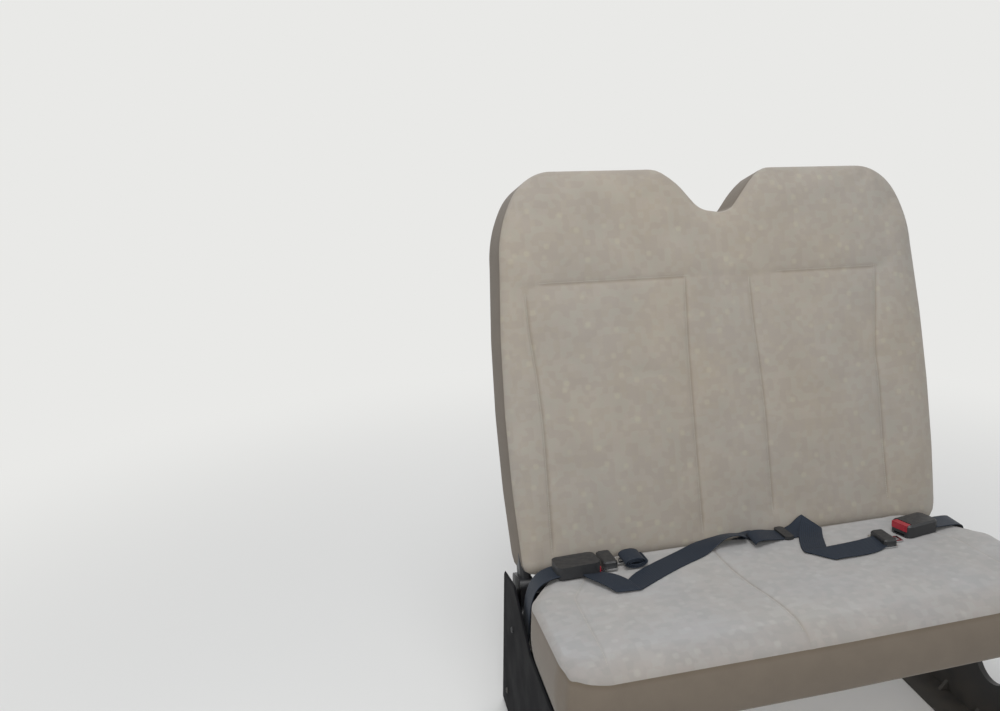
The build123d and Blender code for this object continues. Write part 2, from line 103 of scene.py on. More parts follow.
# Away from the seat the floor fades into the backdrop's own colour, so that no horizon shows
floor_size, fade_from, fade_to = 60.0, 0.8, 2.6
paper, tree, shader = new_material("studio_floor", {"Roughness": 0.9, "Base Color": srgb("e4e4e2")})
spot = add_node(tree, "TexCoord").outputs["Object"]
away = add_node(tree, "VectorMath", {0: spot}, operation="LENGTH")
fade = add_node(tree, "MapRange", {0: away.outputs["Value"], 1: fade_from, 2: fade_to},
                interpolation_type="SMOOTHSTEP")
plain = add_node(tree, "Emission", {"Color": backdrop_colour, "Strength": 1.0})
mixed = add_node(tree, "MixShader", {0: backdrop_paint(tree, fade.outputs[0]), 1: shader.outputs[0],
                                     2: plain.outputs[0]})
tree.links.new(mixed.outputs[0], tree.nodes["Material Output"].inputs["Surface"])
bm = bmesh.new()
bmesh.ops.create_grid(bm, x_segments=1, y_segments=1, size=floor_size / 2)
studio_floor = mesh_object("studio_floor", bm, [paper], smooth=False)

# The sky lights the seat softly, and the camera sees it in the floor's own colour
sky = bpy.data.worlds.new("studio_sky")
sky.use_nodes = True
scene.world = sky
tree = sky.node_tree
sky_light = tree.nodes["Background"]
sky_light.inputs["Color"].default_value = srgb("f4f6fa")
sky_light.inputs["Strength"].default_value = 0.46
backdrop = add_node(tree, "Background", {"Color": backdrop_colour, "Strength": 1.0})
sky_mix = add_node(tree, "MixShader", {0: backdrop_paint(tree), 1: sky_light.outputs[0],
                                       2: backdrop.outputs[0]})
tree.links.new(sky_mix.outputs[0], tree.nodes["World Output"].inputs["Surface"])

for name, place, aim, size, watts in (
    ("top_softbox", (-0.6, -0.8, 3.0), (0, 0, 0.4), 1.8, 36.0),
    ("front_softbox", (-1.1, -2.9, 2.1), (0, 0, 0.6), 1.4, 31.0),
    ("side_softbox", (-2.8, -0.8, 1.7), (0, 0.1, 0.6), 1.5, 1.5),
    ("rear_softbox", (0.6, 2.6, 2.4), (0, 0.1, 0.7), 1.8, 22.0),
):
    light = bpy.data.lights.new(name, "AREA")
    light.shape, light.size, light.energy = "DISK", size, watts
    lamp = bpy.data.objects.new(name, light)
    scene.collection.objects.link(lamp)
    turn = (Vector(aim) - Vector(place)).to_track_quat("-Z", "Y")
    lamp.matrix_world = Matrix.Translation(place) @ turn.to_matrix().to_4x4()


# Steel frame. Two pressed legs, two cross tubes, two braces, the uprights and the rail behind the
# backrest's foot are welded mild steel with a satin black powder coat, which bakes to a fine
# orange peel and gathers dust towards the floor.
def powder_coat():
    material, tree, shader = new_material("black_powder_coat", {"Roughness": 0.42})
    spot = add_node(tree, "TexCoord").outputs["Object"]
    height = add_node(tree, "SeparateXYZ", {0: spot}).outputs["Z"]
    low = add_node(tree, "MapRange", {0: height, 1: 0.0, 2: 0.14, 3: 0.55, 4: 0.0})
    patches = add_node(tree, "TexNoise", {"Vector": spot, "Scale": 22.0, "Detail": 4.0})
    dust = add_node(tree, "Math", {0: low.outputs[0], 1: patches.outputs[0]}, operation="MULTIPLY")
    colour = add_node(tree, "Mix", {0: dust.outputs[0], 6: srgb("1b1c1f"), 7: srgb("6d675d")},
                      data_type="RGBA")
    tree.links.new(colour.outputs[2], shader.inputs["Base Color"])
    rough = add_node(tree, "MapRange", {0: dust.outputs[0], 1: 0.0, 2: 0.4, 3: 0.42, 4: 0.8})
    tree.links.new(rough.outputs[0], shader.inputs["Roughness"])
    # Orange peel of about 1.5 mm
    peel = add_node(tree, "TexNoise", {"Vector": spot, "Scale": 650.0, "Detail": 1.0})
    bump = add_node(tree, "Bump", {"Height": peel.outputs[0], "Strength": 0.25, "Distance": 0.1 * mm})
    tree.links.new(bump.outputs[0], shader.inputs["Normal"])
    return material


def dress(material, *names):
    """Gives CAD nodes their material."""
    for name in names:
        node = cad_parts[name]
        for k in range(max(1, len(node.material_slots))):
            if not node.material_slots:
                node.data.materials.append(material)
            node.material_slots[k].material = material


coat = powder_coat()
dress(coat, "leg_aisle", "leg_wall", "front_cross_tube", "rear_cross_tube", "back_rail",
      "brace_aisle_side", "brace_wall_side", "back_upright_aisle", "back_upright_wall")


# Floor bolts. Four M10 hexagon bolts with washers, in bright zinc plate, hold the two feet down.
def zinc_plate():
    material, tree, shader = new_material(
        "bright_zinc_plate", {"Metallic": 1.0, "Base Color": srgb("c4c3bd")})
    spot = add_node(tree, "TexCoord").outputs["Object"]
    grain = add_node(tree, "TexNoise", {"Vector": spot, "Scale": 180.0, "Detail": 3.0})
    rough = add_node(tree, "MapRange", {0: grain.outputs[0], 1: 0.35, 2: 0.65, 3: 0.28, 4: 0.5})
    tree.links.new(rough.outputs[0], shader.inputs["Roughness"])
    return material


zinc = zinc_plate()
foot_top = 4 * mm
washer_radius, washer_height = 10 * mm, 2 * mm
hexagon_radius, hexagon_height = 9.8 * mm, 6.4 * mm
bolt_x, bolt_y = 395 * mm, 180 * mm
hexagon_sides, round_sides, bolt_edge, sharp_turn = 6, 32, 0.7 * mm, 0.9
bm = bmesh.new()
for x in (-bolt_x, bolt_x):
    for y in (-bolt_y, bolt_y):
        for sides, radius, base, height in (
            (round_sides, washer_radius, foot_top, washer_height),
            (hexagon_sides, hexagon_radius, foot_top + washer_height, hexagon_height),
        ):
            place = Matrix.Translation((x, y, base + height / 2))
            bmesh.ops.create_cone(bm, cap_ends=True, segments=sides, radius1=radius, radius2=radius,
                                  depth=height, matrix=place)
sharp = [e for e in bm.edges if e.calc_face_angle() > sharp_turn]
bmesh.ops.bevel(bm, geom=sharp, offset=bolt_edge, segments=2, profile=0.5, affect="EDGES", material=-1)
floor_bolts = mesh_object("floor_bolts", bm, [zinc], smooth=False)
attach(floor_bolts, "root")

# Anchor tabs. Slotted steel tabs in zinc plate, welded to the legs and the rear cross tube, which
# the lap belts' webbing passes through.
dress(zinc, "anchor_aisle", "anchor_wall", "anchor_centre_aisle_side", "anchor_centre_wall_side")


# Cushion board. Birch plywood, twelve millimetres in nine plies, screwed down on the cross tubes.
# Its faces show long pale grain, and its sawn edge shows the plies as stripes.
def birch_plywood():
    material, tree, shader = new_material("birch_plywood", {"Roughness": 0.55})
    spot = add_node(tree, "TexCoord").outputs["Object"]
    stretched = add_node(tree, "Mapping", {"Vector": spot, "Scale": (6.0, 60.0, 60.0)})
    grain = add_node(tree, "TexNoise", {"Vector": stretched.outputs[0], "Scale": 2.5, "Detail": 6.0,
                                        "Distortion": 0.6})
    face = add_node(tree, "ValToRGB", {0: grain.outputs[0]})
    face.color_ramp.elements[0].position, face.color_ramp.elements[0].color = 0.35, srgb("b88f5f")
    face.color_ramp.elements[1].position, face.color_ramp.elements[1].color = 0.7, srgb("d8b98a")
    # Nine plies of 1.33 mm, a light and a dark one by turns
    ply_pair = 2.67 * mm
    height = add_node(tree, "SeparateXYZ", {0: spot}).outputs["Z"]
    turns = add_node(tree, "Math", {0: height, 1: 2 * math.pi / ply_pair}, operation="MULTIPLY")
    stripe = add_node(tree, "Math", {0: turns.outputs[0]}, operation="SINE")
    ply = add_node(tree, "MapRange", {0: stripe.outputs[0], 1: -0.4, 2: 0.4})
    edge = add_node(tree, "Mix", {0: ply.outputs[0], 6: srgb("8c6540"), 7: srgb("d2ad7b")},
                    data_type="RGBA")
    normal = add_node(tree, "SeparateXYZ", {0: add_node(tree, "NewGeometry").outputs["Normal"]})
    flat = add_node(tree, "Math", {0: normal.outputs["Z"]}, operation="ABSOLUTE")
    colour = add_node(tree, "Mix", {0: flat.outputs[0], 6: edge.outputs[2], 7: face.outputs[0]},
                      data_type="RGBA")
    tree.links.new(colour.outputs[2], shader.inputs["Base Color"])
    bump = add_node(tree, "Bump", {"Height": grain.outputs[0], "Strength": 0.3, "Distance": 0.2 * mm})
    tree.links.new(bump.outputs[0], shader.inputs["Normal"])
    return material


dress(birch_plywood(), "cushion_board")


# Aisle cover. One moulding of black polypropylene with a fine leather grain, which clips over the
# aisle leg and is held by four screws.
def grained_polypropylene():
    material, tree, shader = new_material(
        "grained_polypropylene", {"Base Color": srgb("111114"), "Specular IOR Level": 0.06})
    spot = add_node(tree, "TexCoord").outputs["Object"]
    # Leather grain with cells of about 1.6 mm, drawn a little coarse so that it shows
    cells = add_node(tree, "TexVoronoi", {"Vector": spot, "Scale": 600.0},
                     feature="SMOOTH_F1")
    bump = add_node(tree, "Bump", {"Height": cells.outputs["Distance"], "Strength": 0.5,
                                   "Distance": 0.25 * mm})
    tree.links.new(bump.outputs[0], shader.inputs["Normal"])
    scuffs = add_node(tree, "TexNoise", {"Vector": spot, "Scale": 14.0, "Detail": 5.0})
    rough = add_node(tree, "MapRange", {0: scuffs.outputs[0], 1: 0.3, 2: 0.7, 3: 0.6, 4: 0.78})
    tree.links.new(rough.outputs[0], shader.inputs["Roughness"])
    return material


dress(grained_polypropylene(), "aisle_cover")

# Its four button-head screws are black steel. Each head is drawn up and out from the floor of its
# hexagon recess, over the dome and down into the cover
cover_x, screw_r, screw_high, screw_below = -446 * mm, 5.6 * mm, 3 * mm, 0.5 * mm
recess_r, recess_deep, sixth = 2 * mm, 1.8 * mm, math.pi / 3
bm = bmesh.new()
for y, z in ((-190, 60), (-190, 235), (180, 60), (104, 236)):
    place = Matrix.Translation((cover_x, y * mm, z * mm)) @ Matrix.Rotation(-math.pi / 2, 4, "Y")
    recess = bmesh.ops.create_circle(bm, cap_ends=True, segments=24, radius=recess_r)["verts"]
    for v in recess:
        turn = math.atan2(v.co.y, v.co.x) % sixth - sixth / 2
        v.co *= math.cos(sixth / 2) / math.cos(turn)
        v.co.z = screw_high - recess_deep
    edge, head = list({e for v in recess for e in v.link_edges}), set(recess)
    for radius, height in ((0, screw_high), (0.62, screw_high), (0.86, 0.8 * screw_high),
                           (1, 0.35 * screw_high), (1, -screw_below)):
        made = bmesh.ops.extrude_edge_only(bm, edges=edge)["geom"]
        edge = [e for e in made if isinstance(e, bmesh.types.BMEdge) and e.is_boundary]
        for v in {v for e in edge for v in e.verts}:
            head.add(v)
            if radius:
                v.co *= radius * screw_r / math.hypot(v.co.x, v.co.y)
            v.co.z = height
    bmesh.ops.transform(bm, matrix=place, verts=list(head))
bmesh.ops.recalc_face_normals(bm, faces=bm.faces)
cover_screws = mesh_object("cover_screws", bm, [coat], smooth=False)
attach(cover_screws, "root")


# Board hem. A strip of black non-woven cloth runs round the board's edge and is stapled under its
# front, ahead of the tubes, with zinc-plated staples every 35 mm.
# The hem is a real part, but its black is painted shade: it stands in for the shadow under the cushion's
# nose.
def nonwoven():
    material, tree, shader = new_material("black_nonwoven_painted_shade", {
        "Roughness": 0.9, "Specular IOR Level": 0.2})
    spot = add_node(tree, "TexCoord").outputs["Object"]
    # Bonded fibres, tangled at about 2 mm
    fibres = add_node(tree, "TexNoise", {"Vector": spot, "Scale": 500.0, "Detail": 3.0,
                                         "Distortion": 1.5})
    colour = add_node(tree, "Mix", {0: fibres.outputs[0], 6: srgb("121214"), 7: srgb("2a2a2c")},
                      data_type="RGBA")
    tree.links.new(colour.outputs[2], shader.inputs["Base Color"])
    bump = add_node(tree, "Bump", {"Height": fibres.outputs[0], "Strength": 0.5, "Distance": 0.2 * mm})
    tree.links.new(bump.outputs[0], shader.inputs["Normal"])
    return material


board_half, board_front_y, board_rear_y, board_r = 424 * mm, -272 * mm, 68 * mm, 45 * mm
board_base_z, board_top_z = 270 * mm, 282 * mm
hem_off, hem_thick, hem_flap = 0.7 * mm, 0.8 * mm, 26 * mm
hem_width, hem_length, hem_rows, flap_rows = 40 * mm, 2.3, 3, 2
bm = bmesh.new()
for v in bmesh.ops.create_grid(bm, x_segments=1, y_segments=1, size=1.0)["verts"]:
    v.co.x *= board_half + hem_off
    v.co.y = board_front_y - hem_off if v.co.y < 0 else board_rear_y + hem_off
    v.co.z = board_top_z
bmesh.ops.delete(bm, geom=list(bm.faces), context="FACES_ONLY")
bmesh.ops.bevel(bm, geom=list(bm.verts), offset=board_r, segments=10, profile=0.5, affect="VERTICES",
                material=-1)
bmesh.ops.subdivide_edges(bm, edges=[e for e in bm.edges if e.calc_length() > 0.1], cuts=20)
hem_edge = list(bm.edges)
for _ in range(hem_rows):
    made = bmesh.ops.extrude_edge_only(bm, edges=hem_edge)["geom"]
    hem_edge = [e for e in made if isinstance(e, bmesh.types.BMEdge) and e.is_boundary]
    bmesh.ops.translate(bm, verts=[v for v in made if isinstance(v, bmesh.types.BMVert)],
                        vec=(0, 0, (board_base_z - board_top_z - hem_thick) / hem_rows))
front_edge = [e for e in hem_edge
              if all(v.co.y < board_front_y and abs(v.co.x) < board_half - board_r for v in e.verts)]
for _ in range(flap_rows):
    made = bmesh.ops.extrude_edge_only(bm, edges=front_edge)["geom"]
    front_edge = [e for e in made if isinstance(e, bmesh.types.BMEdge) and e.is_boundary
                  and abs(e.verts[0].co.y - e.verts[1].co.y) < 0.1 * mm]
    bmesh.ops.translate(bm, verts=[v for v in made if isinstance(v, bmesh.types.BMVert)],
                        vec=(0, hem_flap / flap_rows, 0))
bmesh.ops.recalc_face_normals(bm, faces=bm.faces)
hem_area = sum(face.calc_area() for face in bm.faces)
board_hem = mesh_object("board_hem", bm, [nonwoven()])
wall = board_hem.modifiers.new("thickness", "SOLIDIFY")
wall.thickness, wall.offset = hem_thick, 0.0
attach(board_hem, "root")

staples_a_side, staple_pitch, staple_in, staple_sunk = 10, 35 * mm, 18 * mm, 0.5 * mm
staple_size, staple_edge = Matrix.Diagonal((11 * mm, 1.3 * mm, 0.7 * mm, 1.0)), 0.25 * mm
bm = bmesh.new()
for k in range(-staples_a_side, staples_a_side + 1):
    place = Matrix.Translation((k * staple_pitch, board_front_y + staple_in,
                                board_base_z - hem_thick - staple_sunk))
    staple = bmesh.ops.create_cube(bm, size=1.0, matrix=place @ staple_size)["verts"]
    bmesh.ops.bevel(bm, geom=list({e for v in staple for e in v.link_edges}), offset=staple_edge,
                    segments=1, profile=0.5, affect="EDGES", material=-1)
staples = mesh_object("hem_staples", bm, [zinc], smooth=False)
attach(staples, "root")


# Cushion. Moulded foam on the board, in a sewn cover: a patterned moquette top that rolls over the
# nose, and below it a plain cloth band that runs all round and is tucked in at the board.
arc_step, straight_step = math.radians(3), 10 * mm


def walk(x, y, heading, legs):
    """Points of an outline and the way out of it, from straights (length, 0), arcs (radius, turn
    to the left) and corners (0, turn)."""
    heading = math.radians(heading)
    spots = []
    for size, turn in legs:
        turn = math.radians(turn)
        if not size:
            heading += turn
            continue
        steps = math.ceil(abs(turn) / arc_step if turn else size / straight_step)
        step = turn / steps
        chord = 2 * size * math.sin(abs(step) / 2) if turn else size / steps
        for _ in range(steps):
            heading += step / 2
            spots.append((x, y, math.sin(heading), -math.cos(heading)))
            x, y = x + chord * math.cos(heading), y + chord * math.sin(heading)
            heading += step / 2
    spots.append((x, y, math.sin(heading), -math.cos(heading)))
    return np.array(spots)


def seam_x(seam, level):
    """Where a seam lies at a height. Its points are heights and places in millimetres."""
    heights, xs = np.array(seam["points"]).T * mm
    return np.interp(level, heights, xs)


def pad_cells(outline, set_in, seams, gap, cells, rows):
    """Where the crossing (i, j) of a pad's cells lies, for the outline drawn in by set_in, and for
    one on its border the way out and how far it is drawn in. The cells' corners lie where the
    outline turns 45 degrees. A seam follows a column of cells, and rows gives the heights of some
    rows."""
    way = np.degrees(np.arctan2(outline[:, 3], outline[:, 2]))
    low, high = int(np.argmax(way >= -45)), int(np.argmax(way >= 45))
    depth = set_in(outline)[:, None]
    table = np.hstack([outline[:, :2] - outline[:, 2:] * depth, outline[:, 2:], depth])
    bottom, side, top = table[:low + 1], table[low:high + 1], table[:high - 1:-1]
    columns, ups = cells
    row_numbers = [0, *rows, ups]
    knots = [0, *(seam["column"] + k for seam in seams for k in (-1, 0, 1)), columns]

    def crossing(i, j):
        level = np.interp(j, row_numbers, [side[0, 1], *rows.values(), side[-1, 1]])
        half = np.interp(level, side[:, 1], side[:, 0])
        seam_xs = [seam_x(seam, level) for seam in seams]
        x = np.interp(i, knots, [-half, *(at + k * gap for at in seam_xs for k in (-1, 0, 1)), half])
        lowest, highest = (np.interp(abs(x), edge[:, 0], edge[:, 1]) for edge in (bottom, top))
        y = np.interp(j, row_numbers, [lowest, *rows.values(), highest])
        if i in (0, columns):
            out = [np.interp(level, side[:, 1], side[:, k]) for k in (2, 3, 4)]
        elif j in (0, ups):
            edge = bottom if j == 0 else top
            out = [np.interp(abs(x), edge[:, 0], edge[:, k]) for k in (2, 3, 4)]
        else:
            return x, y, 0.0, 0.0, 0.0
        return x, y, math.copysign(1, x) * out[0], out[1], out[2]

    return crossing


def stuffed_pad(cells, rings, place):
    """One face of cells, its border drawn through the rings, and a second face that closes it."""
    bm = bmesh.new()
    spot = bm.verts.layers.float_vector.new("spot")
    ring_border = None
    for ring in (0, rings):
        made = bmesh.ops.create_grid(bm, x_segments=cells[0], y_segments=cells[1], size=1.0)["verts"]
        for v in made:
            v[spot] = (round((v.co.x + 1) / 2 * cells[0]), round((v.co.y + 1) / 2 * cells[1]), ring)
        if ring_border is None:
            ring_border = [e for e in bm.edges if e.is_boundary]
    for ring in range(1, rings + 1):
        grown = bmesh.ops.extrude_edge_only(bm, edges=ring_border)["geom"]
        for v in grown:
            if isinstance(v, bmesh.types.BMVert):
                v[spot] = (v[spot][0], v[spot][1], ring)
        ring_border = [e for e in grown if isinstance(e, bmesh.types.BMEdge) and e.is_boundary]
    for v in bm.verts:
        v.co = place(*v[spot])
    bmesh.ops.remove_doubles(bm, verts=bm.verts, dist=0.01 * mm)
    bmesh.ops.recalc_face_normals(bm, faces=bm.faces)
    return bm, spot


swell_pressure, swell_frames = 1.4, 20


def let_swell(pad, sewn, cap):
    """Foam pushes the cover out as cloth for a few frames. Sewn points stay, and the cap holds
    back how far the others move."""
    group = pad.vertex_groups.new(name="sewn")
    group.add([k for k, held in enumerate(sewn) if held], 1.0, "REPLACE")
    cloth = pad.modifiers.new("swell", "CLOTH")
    cloth.settings.vertex_group_mass = "sewn"
    cloth.settings.use_pressure = True
    cloth.settings.uniform_pressure_force = swell_pressure
    cloth.settings.effector_weights.gravity = 0.0
    cloth.settings.quality = 5
    cloth.settings.bending_stiffness = 0.4
    for number in range(1, swell_frames + 1):
        scene.frame_set(number)
    swollen = pad.evaluated_get(bpy.context.evaluated_depsgraph_get()).data
    for vertex, moved in zip(pad.data.vertices, swollen.vertices):
        way = moved.co - vertex.co
        if way.length > 1e-9:
            vertex.co += way * (cap * math.tanh(way.length / cap) / way.length)
    pad.modifiers.remove(cloth)
    pad.vertex_groups.clear()
    scene.frame_set(1)


def sew_down(pad, inward, seam_at):
    """Draws a cover's seams into the foam. seam_at gives, for a crossing, how far in it is drawn,
    less than nothing on the ridge beside a seam, and how much painted shade darkens it there."""
    painted_shade_share = pad.data.attributes.new("seam", "FLOAT", "POINT").data
    for k, spot in enumerate(pad.data.attributes["spot"].data):
        deep, share = seam_at(*spot.vector)
        pad.data.vertices[k].co += inward * deep
        painted_shade_share[k].value = share


def run_share(at, start, end, fade):
    """How much of a seam or a crease there is at a place along it, less towards its ends."""
    return max(0.0, min(1.0, (at - start) / fade, (end - at) / fade))


def crease_depth(x, y, creases, width):
    """How deep the cover is drawn in at a place by creases, from one point to another."""
    deepest = 0.0
    for (x0, y0), (x1, y1), depth in creases:
        way_x, way_y = x1 - x0, y1 - y0
        t = ((x - x0) * way_x + (y - y0) * way_y) / (way_x ** 2 + way_y ** 2)
        gap = math.hypot(x - x0 - t * way_x, y - y0 - t * way_y)
        deepest = max(deepest, depth * math.exp(-(gap / width) ** 2) * run_share(t, 0, 1, 0.3))
    return deepest


def smooth_out(pad):
    """Applies one subdivision to a finished pad."""
    pad.modifiers.new("rounding", "SUBSURF").levels = 1
    rounded = bpy.data.meshes.new_from_object(
        pad.evaluated_get(bpy.context.evaluated_depsgraph_get()))
    pad.modifiers.clear()
    pad.data = rounded


def moquette(name, tilt, place, tints, fleck):
    """Patterned seat cloth for a panel that is tilted about X and passes through the place."""
    material, tree, shader = new_material(name, {
        "Roughness": 0.92, "Sheen Weight": 0.25, "Sheen Roughness": 0.5, "Specular IOR Level": 0.25})
    spot = add_node(tree, "TexCoord").outputs["Object"]
    level = add_node(tree, "Mapping", {"Vector": spot, "Location": place, "Rotation": (tilt, 0, 0)},
                     vector_type="TEXTURE")
    # A mosaic of soft squares, 10 to 15 mm wide, in close tints
    squares = add_node(tree, "TexVoronoi", {"Vector": level.outputs[0], "Scale": 1 / (12 * mm),
                                            "Randomness": 0.6, "Smoothness": 0.5},
                       distance="CHEBYCHEV", feature="SMOOTH_F1")
    tint = add_node(tree, "SeparateColor", {0: squares.outputs["Color"]})
    mosaic = add_node(tree, "ValToRGB", {0: tint.outputs[0]})
    ramp = mosaic.color_ramp
    for number, code in enumerate(tints):
        at = 0.2 + 0.6 * number / (len(tints) - 1)
        step = ramp.elements[number] if number < 2 else ramp.elements.new(at)
        step.position, step.color = at, srgb(code)
    # Light specks of about 10 mm on a pitch of 30 mm
    flecks = add_node(tree, "TexVoronoi", {"Vector": level.outputs[0], "Scale": 1 / (30 * mm),
                                           "Randomness": 0.9}, distance="MINKOWSKI")
    flecks.inputs["Exponent"].default_value = 3.0
    inside = add_node(tree, "MapRange", {0: flecks.outputs["Distance"], 1: 0.1, 2: 0.24, 3: 0.45, 4: 0.0},
                      interpolation_type="SMOOTHSTEP")
    speckled = add_node(tree, "Mix", {0: inside.outputs[0], 6: mosaic.outputs[0], 7: srgb(fleck)},
                        data_type="RGBA")
    # Blotches of 30 mm, as the pile leans one way or the other, warmer where it is rubbed
    pile = add_node(tree, "TexNoise", {"Vector": spot, "Scale": 1 / (60 * mm), "Detail": 3.0})
    shade = add_node(tree, "MapRange", {0: pile.outputs[0], 1: 0.3, 2: 0.7, 3: 0.96, 4: 1.04})
    rubbed = add_node(tree, "TexNoise", {"Vector": spot, "Scale": 1 / (190 * mm), "Detail": 1.0})
    warmth = add_node(tree, "Mix", {0: rubbed.outputs[0], 6: (0.965, 1.0, 1.06, 1),
                                    7: (1.035, 1.0, 0.94, 1)}, data_type="RGBA")
    warmed = add_node(tree, "VectorMath", {0: speckled.outputs[2], 1: warmth.outputs[2]},
                      operation="MULTIPLY")
    colour = add_node(tree, "VectorMath", {0: warmed.outputs[0], 1: shade.outputs[0]},
                      operation="MULTIPLY")
    tree.links.new(seam_painted_shade(tree, colour.outputs[0]), shader.inputs["Base Color"])
    weave(tree, shader, level.outputs[0])
    return material


def seam_painted_shade(tree, colour):
    """A cloth's colour with painted shade, darker and browner where its seams are drawn in and over the
    cushion's nose roll.
    """
    seam = add_node(tree, "Attribute", attribute_name="seam")
    share = add_node(tree, "MapRange", {0: seam.outputs["Fac"], 1: 0.2, 2: 1.0})
    # Painted shade: this dark brown tone stands in for the shade in the seams and on the nose roll.
    dust = add_node(tree, "Mix", {0: share.outputs[0], 6: (1, 1, 1, 1), 7: (0.84, 0.805, 0.765, 1)},
                    data_type="RGBA")
    shaded = add_node(tree, "VectorMath", {0: colour, 1: dust.outputs[2]}, operation="MULTIPLY")
    return shaded.outputs[0]


def weave(tree, shader, spot):
    """Bump of a looped weave. Its threads are 1 mm apart, drawn at 2.2 mm so that they show."""
    thread_pitch = 2.2 * mm
    axes = add_node(tree, "SeparateXYZ", {0: spot})
    ribs = []
    for axis in ("X", "Y"):
        turns = add_node(tree, "Math", {0: axes.outputs[axis], 1: 2 * math.pi / thread_pitch},
                         operation="MULTIPLY")
        ribs.append(add_node(tree, "Math", {0: turns.outputs[0]}, operation="SINE").outputs[0])
    loops = add_node(tree, "Math", {0: ribs[0], 1: ribs[1]}, operation="MULTIPLY")
    fuzz = add_node(tree, "TexNoise", {"Vector": spot, "Scale": 900.0, "Detail": 2.0})
    height = add_node(tree, "Math", {0: loops.outputs[0], 1: 0.3, 2: fuzz.outputs[0]},
                      operation="MULTIPLY_ADD")
    bump = add_node(tree, "Bump", {"Height": height.outputs[0], "Strength": 0.5, "Distance": 0.35 * mm})
    tree.links.new(bump.outputs[0], shader.inputs["Normal"])


def plain_cloth():
    """Flat-woven cloth of the sides: one brown, a little uneven, with the same weave."""
    material, tree, shader = new_material("plain_side_cloth", {
        "Roughness": 0.95, "Sheen Weight": 0.15, "Specular IOR Level": 0.2})
    spot = add_node(tree, "TexCoord").outputs["Object"]
    uneven = add_node(tree, "TexNoise", {"Vector": spot, "Scale": 1 / (40 * mm), "Detail": 4.0})
    colour = add_node(tree, "Mix", {0: uneven.outputs[0], 6: srgb("6b6257"), 7: srgb("776d61")},
                      data_type="RGBA")
    tree.links.new(seam_painted_shade(tree, colour.outputs[2]), shader.inputs["Base Color"])
    weave(tree, shader, spot)
    return material


def sewing_thread():
    """Bonded polyester thread, a shade lighter than the cloth, so that a seam reads as a light line."""
    material, tree, shader = new_material("polyester_thread", {"Roughness": 0.5, "Sheen Weight": 0.2})
    spot = add_node(tree, "TexCoord").outputs["Object"]
    plies = add_node(tree, "TexNoise", {"Vector": spot, "Scale": 800.0, "Detail": 1.0})
    colour = add_node(tree, "Mix", {0: plies.outputs[0], 6: srgb("a79f92"), 7: srgb("c3bcb0")},
                      data_type="RGBA")
    tree.links.new(colour.outputs[2], shader.inputs["Base Color"])
    return material


stitch_pitch, stitch_half, thread_r, stitch_proud = 4 * mm, 1.5 * mm, 0.4 * mm, 0.1 * mm
needle_start = 40 * mm


def top_stitch(name, pad, rows, inward):
    """Stitches sewn on a pad along rows of points. Each is dropped inward on to the cover."""
    bpy.context.view_layer.update()
    bm = bmesh.new()
    sewn_row = bpy.data.meshes.new("sewn_row")
    for row in rows:
        row_bm = bmesh.new()
        for start, end in zip(row, row[1:]):
            way = Vector(end) - Vector(start)
            for k in range(int(way.length / stitch_pitch)):
                middle = Vector(start) + way.normalized() * (k + 0.5) * stitch_pitch
                found, spot, normal, _ = pad.ray_cast(middle - inward * needle_start, inward)
                if not found:
                    continue
                along = (way - normal * way.dot(normal)).normalized()
                turn = Matrix((along * stitch_half, normal.cross(along) * thread_r,
                               normal * thread_r))
                bmesh.ops.create_uvsphere(
                    row_bm, u_segments=6, v_segments=4, radius=1.0,
                    matrix=Matrix.Translation(spot + normal * stitch_proud)
                    @ turn.transposed().to_4x4())
        row_bm.to_mesh(sewn_row)
        row_bm.free()
        bm.from_mesh(sewn_row)
    bpy.data.meshes.remove(sewn_row)
    stitches = mesh_object(name, bm, [thread])
    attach(stitches, "root")


thread = sewing_thread()
side_cloth = plain_cloth()

# The pad's outline and height. Its front is slightly bowed, and its rear corners are cut off to
# let the belts through
seat_half = 446 * mm
cushion_front_y, cushion_rear_y, cushion_bow = -302 * mm, 88 * mm, 4 * mm
cushion_front_r, belt_cut_x, belt_cut_y, belt_cut_r = 62 * mm, 92 * mm, 150 * mm, 60 * mm
cushion_base_z, cushion_rear_z, cushion_drop = 282.3 * mm, 366 * mm, math.radians(4.5)
# How the cover rolls over the edge to its seam, and bulges below it
sunk, proud, nose_set_in, side_set_in = 2 * mm, 5 * mm, 58 * mm, 14 * mm
nose_roll, side_roll, seam_turn = 26 * mm, 7 * mm, math.radians(80)
seam_in, band_bulge, seam_clear, band_tuck = 7 * mm, 7 * mm, 1 * mm, 8 * mm
# Its seams, creases and stitches, and how far it may swell, which is less under the belts
seam_gap, seam_deep, seam_ridge = 5 * mm, 4 * mm, 1 * mm
seams_end_y, cushion_seam_fade, cushion_crease_w = 70 * mm, 25 * mm, 7 * mm
stitch_in, stitch_from_y, stitch_to_y = 3.5 * mm, cushion_front_y + 30 * mm, 65 * mm
cushion_cap, belts_y, level_fade = 9 * mm, -90 * mm, 60 * mm
top_under, top_rise = 0.6 * mm, 4.6 * mm


def seat_top_z(y):
    """Height of the cushion's top plane."""
    return cushion_rear_z + (cushion_rear_y - y) * math.tan(cushion_drop)


cut_turn = math.atan2(belt_cut_x, belt_cut_y)
cut_start, cut_end = (belt_cut_r * math.tan(t / 2) for t in (cut_turn, math.pi / 2 - cut_turn))
bow_r = (seat_half - cushion_front_r) ** 2 / (2 * cushion_bow)
bow_turn = math.degrees(math.asin((seat_half - cushion_front_r) / bow_r))
cushion_outline = walk(0, cushion_front_y, 0, [
    (bow_r, bow_turn),
    (cushion_front_r, 90 - bow_turn),
    (cushion_rear_y - belt_cut_y - cut_start - cushion_front_y - cushion_bow - cushion_front_r, 0),
    (belt_cut_r, math.degrees(cut_turn)),
    (math.hypot(belt_cut_x, belt_cut_y) - cut_start - cut_end, 0),
    (belt_cut_r, 90 - math.degrees(cut_turn)),
    (seat_half - belt_cut_x - cut_end, 0),
])
